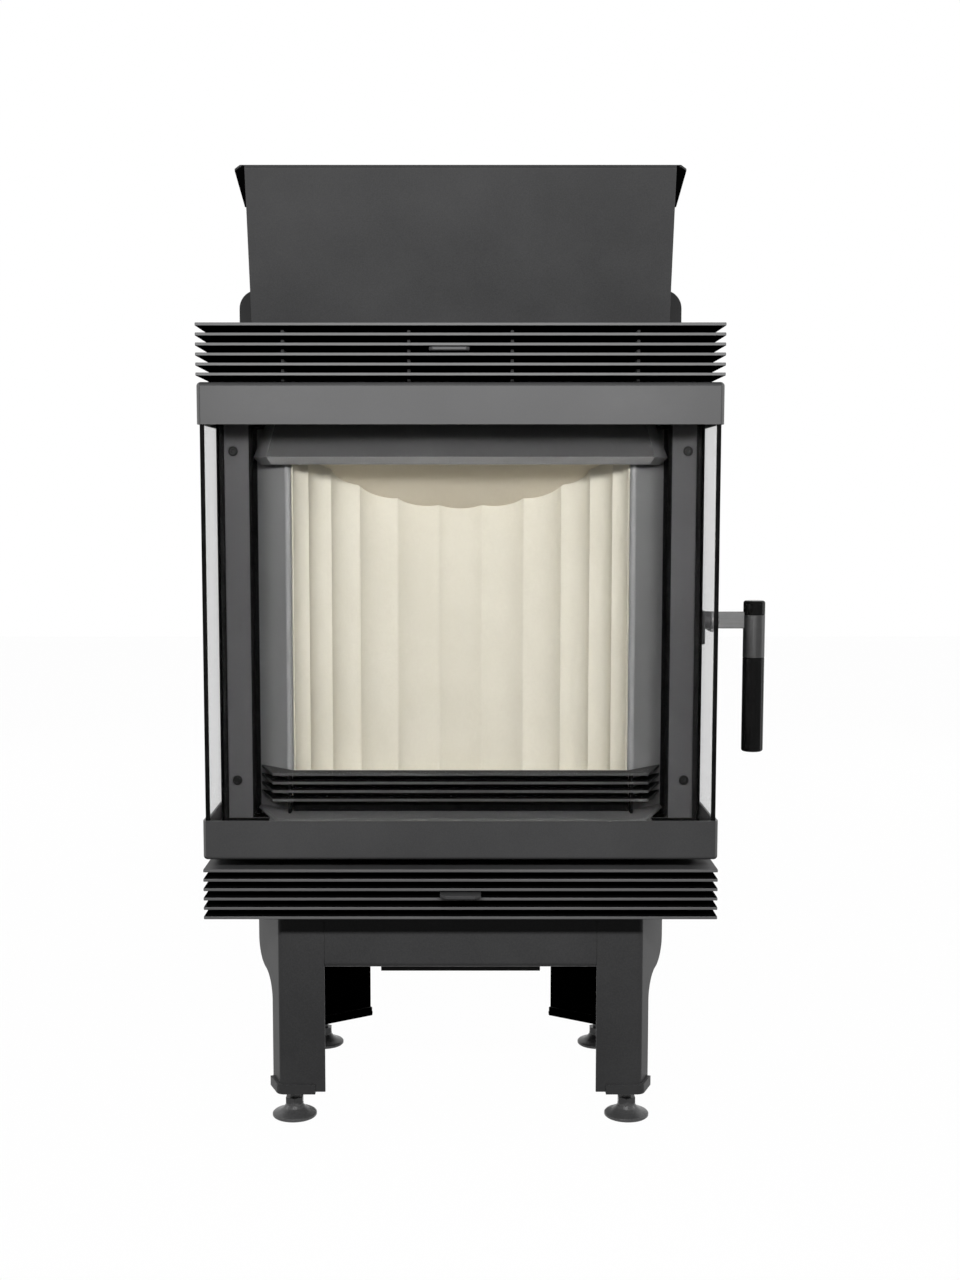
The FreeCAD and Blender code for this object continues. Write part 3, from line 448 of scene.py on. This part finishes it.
def outward(face: Face) -> float:
    """Return how far a face looks away from the middle of the object, to the left or right."""
    return math.copysign(1.0, face.calc_center_median().x) * face.normal.x


def off_front(face: Face) -> bool:
    """Tell whether a face looks neither to the front nor to a side."""
    return face.normal.y > -LOOKING and abs(face.normal.x) < SQUARE


def band_top(face: Face) -> bool:
    """Tell whether a face is the upper side of the highest slat of a louvre band."""
    height = face.calc_center_median().z
    return face.normal.z > SQUARE and any(abs(height - top) < MM for top in BAND_TOPS)


def front_face(face: Face) -> bool:
    """Tell whether a face looks to the front."""
    return face.normal.y < -LOOKING


def outer_wall(face: Face) -> bool:
    """Tell whether a face looks outwards at the very side of the object."""
    return outward(face) > SQUARE and abs(face.calc_center_median().x) > POST_SIDE


def side_wall(face: Face) -> bool:
    """Tell whether a face looks or bends to the left or right."""
    return abs(face.normal.x) > TURNED


def behind_slats(face: Face) -> bool:
    """Tell whether a face of the guard lies behind the edges or under the top of its slats.

    Args:
        face: A face of the guard.

    Returns:
        False for the front edges of the slats and for the upper side, else True.
    """
    middle = face.calc_center_median()
    across = [corner.co.x for corner in face.verts]
    upright = [corner.co.z for corner in face.verts]
    wide = max(across) - min(across) > max(upright) - min(upright)
    outside = middle.y < SLAT_EDGES or abs(face.normal.x) > LOOKING
    edge = wide and outside and face.normal.y < -LEANING
    top = face.normal.z > LOOKING and middle.z > GUARD_TOP
    return not edge and not top


def outer_flange(face: Face) -> bool:
    """Tell whether a face belongs to the flange that a cheek hides behind its post."""
    flat = front_face(face) and not side_wall(face)
    return flat and abs(face.calc_center_median().x) > CHEEK_FLANGE


def under_fold(face: Face) -> bool:
    """Tell whether a face looks down from a fold."""
    return face.normal.z < -LOOKING


def hip_or_lip(face: Face) -> bool:
    """Tell whether a face is one of the hood's hipped ends or its lower lip."""
    return under_fold(face) or (abs(face.normal.x) > LOOKING and face.normal.y < -LEANING)


def inside_shell(face: Face) -> bool:
    """Tell whether a face of the firebox looks at the fire or to the front."""
    return front_face(face) or face.normal.dot(FIRE_MIDDLE - face.calc_center_median()) > 0.0


def rear_front(face: Face) -> bool:
    """Tell whether a face of a rear leg or its cap looks to the front or to the middle."""
    behind = face.calc_center_median().y > BODY_MIDDLE
    return behind and (face.normal.y < -LEANING or outward(face) < -LEANING)


def front_bend(face: Face) -> bool:
    """Tell whether a face lies in the rounded front corner of a folded band."""
    return BENT < abs(face.normal.x) < SQUARE and face.normal.y < -BENT


@dataclass
class Dresser:
    """Puts finishes and softened edges on copies of CAD pieces.

    Args:
        weld: Points closer than this, in millimetres, become one.
        flat_angle: Faces that bend less than this, in degrees, become one.
        smooth_angle: Edges flatter than this, in degrees, shade as one curved face.
        segments: Number of faces across a rounded edge.
        face_weight: How far the largest face sets the shading, where 50 is even.
    """

    weld: float = 0.005
    flat_angle: float = 0.5
    smooth_angle: float = 32.0
    segments: int = 2
    face_weight: int = 100

    def copy(self, node: str, finish: AnyFinish, edge: float, zones: tuple[Zone, ...]) -> bpy.types.Object:
        """Stand in for a CAD node with a merged copy whose sharp edges are rounded.

        Args:
            node: Name of the CAD node.
            finish: Finish of the piece.
            edge: Width of the rounding, in millimetres.
            zones: Further finishes, each with the test of the faces that get it.

        Returns:
            The new object.
        """
        source = frame["nodes"][node]
        mesh = source.data.copy()
        mesh.materials.clear()
        self.shape(mesh, [test for _, test in zones])
        for other in (finish, *(zone_finish for zone_finish, _ in zones)):
            mesh.materials.append(other.material())
        piece = bpy.data.objects.new(node + "_dressed", mesh)
        self.soften(piece, edge)
        bpy.context.scene.collection.objects.link(piece)
        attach(piece, source["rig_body"])
        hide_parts(node)
        return piece

    def shape(self, mesh: bpy.types.Mesh, tests: list[FaceTest]) -> None:
        """Merge a mesh, mark its sharp edges and number the finish of each face.

        Args:
            mesh: The mesh that is changed.
            tests: Tests of the faces that get the second finish, the third and so on.
        """
        shape = bmesh.new()
        shape.from_mesh(mesh)
        bmesh.ops.remove_doubles(shape, verts=shape.verts, dist=self.weld * MM)
        bmesh.ops.dissolve_limit(shape, angle_limit=math.radians(self.flat_angle),
                                 verts=shape.verts, edges=shape.edges)
        shape.normal_update()
        for face in shape.faces:
            face.smooth = True
            face.material_index = next((i for i, test in enumerate(tests, 1) if test(face)), 0)
        for side in shape.edges:
            side.smooth = side.calc_face_angle(math.pi) < math.radians(self.smooth_angle)
        shape.to_mesh(mesh)
        shape.free()

    def soften(self, piece: bpy.types.Object, edge: float) -> None:
        """Round the sharp edges of a piece with live modifiers.

        Args:
            piece: The object.
            edge: Width of the rounding, in millimetres.
        """
        bevel = piece.modifiers.new("soft_edges", "BEVEL")
        bevel.width = edge * MM
        bevel.segments = self.segments
        bevel.limit_method = "ANGLE"
        bevel.angle_limit = math.radians(self.smooth_angle)
        weighted = piece.modifiers.new("flat_faces", "WEIGHTED_NORMAL")
        weighted.keep_sharp = True
        weighted.weight = self.face_weight


@dataclass
class SubAssembly:
    """A group of CAD pieces that are dressed together. Its edge widths are in millimetres.

    Args:
        dresser: The dresser that copies the pieces.
        pieces: The pieces that are dressed.
    """

    dresser: Dresser
    pieces: list[bpy.types.Object] = field(default_factory=list)

    def dress(self, finish: AnyFinish, edge: float, *nodes: str, zones: tuple[Zone, ...] = ()) -> None:
        """Dress some pieces alike.

        Args:
            finish: Their finish.
            edge: Width of their rounded edges.
            *nodes: Names of their CAD nodes.
            zones: Further finishes, each with the test of the faces that get it.
        """
        for node in nodes:
            self.pieces.append(self.dresser.copy(node, finish, edge, zones))


@dataclass
class SteelBody(SubAssembly):
    """Legs, plates, frame, louvres and shields.

    Args:
        sheet_edge: Edge width of the folded sheets and plates.
        slat_edge: Edge width of the slats and posts.
        frame_edge: Edge width of the front frame and the turned hardware.
        small_edge: Edge width of the ribs and screws.
    """

    sheet_edge: float = 0.5
    slat_edge: float = 0.6
    frame_edge: float = 0.4
    small_edge: float = 0.3

    def build(self) -> None:
        """Dress every piece of the body."""
        self.plates()
        self.louvre_bands()
        self.shaded_sheets()
        self.front_frame()
        self.hardware()

    def plates(self) -> None:
        """Dress the sheets and plates of one finish."""
        self.dress(PAINT, self.sheet_edge, "front_legs", "front_apron", "rear_heat_shield", "top_plate",
                   "smoke_dome", "flue_collar", "air_inlet_spigot", "base_plate", "hinge_brackets",
                   "air_slider_guides", "ash_box")

    def louvre_bands(self) -> None:
        """Dress the slats, with a painted highlight on their edges and painted shade between them."""
        self.dress(LIT_EDGE_PAINT, self.slat_edge, "top_louvres", "bottom_louvres",
                   zones=((PAINT, band_top), (PAINTED_SHADE_BLACK, off_front)))

    def shaded_sheets(self) -> None:
        """Dress the legs, caps and the deflector, with painted shade on the rear legs' and caps' faces to
        the front and under the deflector's fold.
        """
        self.dress(PAINT, self.sheet_edge, "rear_legs", "foot_brackets", zones=((SHADE_PAINT, rear_front),))
        self.dress(PAINT, self.sheet_edge, "heat_deflector", zones=((PAINTED_SHADE_BLACK, under_fold),))

    def front_frame(self) -> None:
        """Dress the posts, the ribs and the frame behind the slats, with painted light on the posts and
        painted shade on their side walls, the ribs' hidden faces and the frame's fronts.
        """
        self.dress(LIT_POST_PAINT, self.slat_edge, "door_posts",
                   zones=((PAINT, outer_wall), (PAINTED_SHADE_BLACK, side_wall)))
        self.dress(INNER_PAINT, self.small_edge, "louvre_ribs", zones=((PAINTED_SHADE_BLACK, off_front),))
        self.dress(PAINT, self.frame_edge, "front_header", "front_sill", zones=((PAINTED_SHADE_BLACK, front_face),))

    def hardware(self) -> None:
        """Dress the spacers, the keeper, the nuts and the screws."""
        self.dress(PLATED, self.frame_edge, "shield_spacers", "latch_keeper")
        self.dress(BLACKENED, self.frame_edge, "lock_nuts")
        self.dress(BLACKENED, self.small_edge, "post_screws")


@dataclass
class FireOpening(SubAssembly):
    """Lining, baffle, hood, cheeks, guard, ledge, grate and the shell round them.

    Args:
        lining_edge: Edge width of the fluted lining.
        slab_edge: Edge width of the baffle and the hearth.
        grate_edge: Edge width of the cast grate.
        sheet_edge: Edge width of the folded sheets.
        plate_edge: Edge width of the plates round the fire.
    """

    lining_edge: float = 1.2
    slab_edge: float = 1.5
    grate_edge: float = 1.0
    sheet_edge: float = 0.5
    plate_edge: float = 0.4

    def build(self) -> None:
        """Dress every piece of the fire opening."""
        self.fireclay()
        self.opening()
        self.shell()

    def fireclay(self) -> None:
        """Dress the lining, the slabs and the grate."""
        self.dress(LINING, self.lining_edge, "lining_back", "lining_sides")
        self.dress(BAFFLE, self.slab_edge, "smoke_baffle")
        self.dress(HEARTH, self.slab_edge, "hearth_stone")
        self.dress(IRON, self.grate_edge, "grate")

    def opening(self) -> None:
        """Dress the sheets that frame the fire, with painted light on the hood's ends and lip, the ash lip
        and the cheeks, and painted shade behind the guard's slats and on the cheeks' flanges.
        """
        self.dress(INNER_PAINT, self.sheet_edge, "air_wash_hood", zones=((LIT_PALE_PAINT, hip_or_lip),))
        self.dress(INNER_PAINT, self.sheet_edge, "log_guard", zones=((PAINTED_SHADE_BLACK, behind_slats),))
        self.dress(LIT_BEND_PAINT, self.sheet_edge, "ash_lip")
        self.dress(LIT_PALE_PAINT, self.sheet_edge, "cheek_plates", zones=((PAINTED_SHADE_BLACK, outer_flange),))

    def shell(self) -> None:
        """Dress the plates round the fire, with painted shade on the hearth plate, the ash pan and the
        inside of the shell.
        """
        self.dress(PAINTED_SHADE_BLACK, self.plate_edge, "hearth_plate", "ash_pan")
        self.dress(PAINT, self.plate_edge, "firebox_shell", zones=((PAINTED_SHADE_BLACK, inside_shell),))


@dataclass
class GlazedDoor(SubAssembly):
    """Trays, panes, stiles, seals and hinge pins of the door.

    Args:
        steel_edge: Edge width of the folded sheets and turned parts.
        pane_edge: Edge width of the panes.
        cord_edge: Edge width of the sealing cord.
    """

    steel_edge: float = 0.4
    pane_edge: float = 0.3
    cord_edge: float = 1.2

    def build(self) -> None:
        """Dress the steel of the door, its panes and what seals and hangs it, with painted highlights on
        the trays' front bends and painted shade on the stiles but their outer walls.
        """
        self.dress(BAND_PAINT, self.steel_edge, "door_top_tray", "door_bottom_tray",
                   zones=((LIT_BEND_PAINT, front_bend),))
        self.dress(BAND_PAINT, self.steel_edge, "handle_bush")
        self.dress(PAINTED_SHADE_BLACK, self.steel_edge, "door_stiles", zones=((PAINT, outer_wall),))
        self.dress(FRONT_PANE, self.pane_edge, "glass_front")
        self.dress(SIDE_PANE, self.pane_edge, "glass_sides")
        self.dress(CORD, self.cord_edge, "door_seals")
        self.dress(PLATED, self.steel_edge, "hinge_pins")


@dataclass
class HandleSet(SubAssembly):
    """Arm, hook and the turned grip.

    Args:
        arm_edge: Edge width of the arm.
        hook_edge: Edge width of the hook.
        sleeve_edge: Edge width of the sleeve.
        grip_edge: Edge width of the grip and its cap.
    """

    arm_edge: float = 0.5
    hook_edge: float = 0.4
    sleeve_edge: float = 0.3
    grip_edge: float = 0.8

    def build(self) -> None:
        """Dress the handle from the arm to the cap."""
        self.dress(ARM_STEEL, self.arm_edge, "handle_arm")
        self.dress(PLATED, self.hook_edge, "latch_hook")
        self.dress(SLEEVE_STEEL, self.sleeve_edge, "grip_sleeve")
        self.dress(GRIP, self.grip_edge, "handle_grip", "grip_cap")


@dataclass
class Controls(SubAssembly):
    """Air sliders and levelling feet.

    Args:
        slider_edge: Edge width of the sliders.
        foot_edge: Edge width of the feet.
    """

    slider_edge: float = 0.5
    foot_edge: float = 0.4

    def build(self) -> None:
        """Dress the sliders and the four feet."""
        self.dress(BAND_PAINT, self.slider_edge, "air_slider", "ignition_slider")
        for end in ("front", "rear"):
            for side in ("left", "right"):
                self.dress(FOOT_STEEL, self.foot_edge, f"foot_{end}_{side}")


@dataclass(frozen=True)
class Softbox:
    """A rectangular lamp.

    Args:
        name: Name of the lamp.
        place: Its middle.
        aim: The point it faces.
        size: Its width and height.
        power: Its power in watts.
        glossy: Whether it shows in glossy surfaces.
    """

    name: str
    place: Point
    aim: Point
    size: Span
    power: float
    glossy: bool = True

    def hang(self) -> None:
        """Put the lamp into the scene."""
        data = bpy.data.lights.new(self.name, "AREA")
        data.shape = "RECTANGLE"
        data.size, data.size_y = self.size
        data.energy = self.power
        lamp = bpy.data.objects.new(self.name, data)
        lamp.location = self.place
        lamp.visible_glossy = self.glossy
        lamp.rotation_euler = (Vector(self.aim) - Vector(self.place)).to_track_quat("-Z", "Y").to_euler()
        bpy.context.scene.collection.objects.link(lamp)


@dataclass
class Studio:
    """Pale floor, white surround, soft lamps and the camera of the photo.

    Args:
        eye: Place of the camera.
        pitch: Angle of the camera below the horizon, in degrees.
        lens: Focal length, in millimetres.
        sensor: Long side of the picture behind the lens, in millimetres.
        shift: Shift of the frame against the optical axis.
        floor_reach: Distance from the middle of the floor to its sides.
        floor_tone: Colour of the floor.
        floor_rough: Roughness of the floor.
        floor_bounce: Colour of the floor for light that has met a matt surface before.
        floor_shown: Part of the floor, and so of the shadow, that the camera sees.
        fill: Strength of the surround where it only lights.
    """

    eye: Point = (0.0, -1.5744, 0.626)
    pitch: float = 5.72
    lens: float = 46.41
    sensor: float = 36.0
    shift: Span = (0.0152, 0.0197)
    floor_reach: float = 6.0
    floor_tone: float = 0.85
    floor_rough: float = 0.9
    floor_bounce: float = 0.06
    floor_shown: float = 0.015
    fill: float = 0.01

    def build(self) -> None:
        """Set up floor, surround, lamps and camera."""
        bpy.context.scene.view_settings.view_transform = "Standard"
        self.floor()
        self.surround()
        self.lamps()
        self.camera()

    def floor(self) -> None:
        """Lay the floor."""
        shape = bmesh.new()
        bmesh.ops.create_grid(shape, x_segments=1, y_segments=1, size=self.floor_reach)
        mesh = bpy.data.meshes.new("floor")
        shape.to_mesh(mesh)
        shape.free()
        mesh.materials.append(self.floor_material())
        plane = bpy.data.objects.new("floor", mesh)
        bpy.context.scene.collection.objects.link(plane)

    def floor_material(self) -> bpy.types.Material:
        """Make a floor that keeps the shadow and shows the surround and a foot let down through it.

        Returns:
            The new material.
        """
        pale, bench, matt = new_material("pale_floor")
        bench.adjust(matt, Base_Color=(*grey(self.floor_tone), 1.0), Roughness=self.floor_rough,
                     Specular_IOR_Level=0.0)
        clear = bench.add("ShaderNodeBsdfTransparent")
        dim = bench.add("ShaderNodeBsdfDiffuse", Color=(*grey(self.floor_bounce), 1.0))
        path = bench.add("ShaderNodeLightPath")
        bounced = bench.calc("GREATER_THAN", path.outputs["Diffuse Depth"], HALF_BOUNCE)
        solid = bench.pick(bounced, matt.outputs["BSDF"], dim.outputs["BSDF"])
        passed = bench.calc("MAXIMUM", self.seen(bench, path), path.outputs["Is Shadow Ray"])
        share = bench.calc("MULTIPLY_ADD", path.outputs["Is Camera Ray"], -self.floor_shown, passed,
                           clamp=True)
        bench.show(bench.pick(share, solid, clear.outputs["BSDF"]))
        return pale

    def seen(self, bench: NodeBench, path: bpy.types.Node) -> Socket:
        """Mask the rays that look at the scene, directly, by gloss or through glass.

        Args:
            bench: Bench of the material or the world.
            path: Its Light Path node.

        Returns:
            An output that is 1 for those rays and 0 for rays that a matt surface sends out.
        """
        direct = bench.calc("MAXIMUM", path.outputs["Is Camera Ray"], path.outputs["Is Glossy Ray"])
        looks = bench.calc("MAXIMUM", direct, path.outputs["Is Transmission Ray"])
        straight = bench.calc("LESS_THAN", path.outputs["Diffuse Depth"], HALF_BOUNCE)
        return bench.calc("MULTIPLY", looks, straight)

    def surround(self) -> None:
        """Make the world white where it is seen and faint where it only lights."""
        world = bpy.data.worlds.new("white_surround")
        bpy.context.scene.world = world
        world.use_nodes = True
        bench = NodeBench(world.node_tree)
        back = world.node_tree.nodes["Background"]
        bench.adjust(back, Color=(*grey(1.0), 1.0))
        path = bench.add("ShaderNodeLightPath")
        level = bench.add("ShaderNodeMapRange", To_Min=self.fill, To_Max=1.0)
        bench.join(self.seen(bench, path), level.inputs["Value"])
        bench.join(level.outputs["Result"], back.inputs["Strength"])

    def lamps(self) -> None:
        """Hang a long lamp in front, strips beside, softboxes behind and one above."""
        sides = (("left", -1.0), ("right", 1.0))
        Softbox("front_softbox", place=(0.0, -0.85, 0.785), aim=(0.0, 0.0, 0.55), size=(1.0, 0.08),
                power=10.8).hang()
        for side, sign in sides:
            Softbox(f"{side}_strip", place=(sign * 2.2, 0.3, 0.7), aim=(0.0, 0.1, 0.5), size=(0.4, 1.6),
                    power=9.0).hang()
        for side, sign in sides:
            Softbox(f"rear_{side}_softbox", place=(sign * 1.7, 2.3, 1.2), aim=(0.0, 0.3, 0.5),
                    size=(1.0, 1.2), power=22.0, glossy=False).hang()
        Softbox("top_softbox", place=(0.0, -0.2, 2.6), aim=(0.0, 0.1, 0.4), size=(1.6, 1.6),
                power=6.0).hang()

    def camera(self) -> None:
        """Set the camera where the photo was taken."""
        data = bpy.data.cameras.new("camera")
        data.sensor_width = self.sensor
        data.lens = self.lens
        data.shift_x, data.shift_y = self.shift
        camera = bpy.data.objects.new("camera", data)
        camera.location = self.eye
        camera.rotation_euler = (math.radians(90.0 - self.pitch), 0.0, 0.0)
        bpy.context.scene.collection.objects.link(camera)
        bpy.context.scene.camera = camera


def main() -> None:
    """Dress the sub-assemblies in order, report their pieces and set up the studio."""
    logging.basicConfig(level=logging.INFO, format="%(message)s")
    dresser = Dresser()
    for part in (SteelBody(dresser), FireOpening(dresser), GlazedDoor(dresser), HandleSet(dresser),
                 Controls(dresser)):
        part.build()
        for piece in part.pieces:
            faces = len(piece.data.polygons)
            LOG.info("%s in %s, %d faces", piece.name, piece.data.materials[0].name, faces)
    Studio().build()


if __name__ == "__main__":
    main()
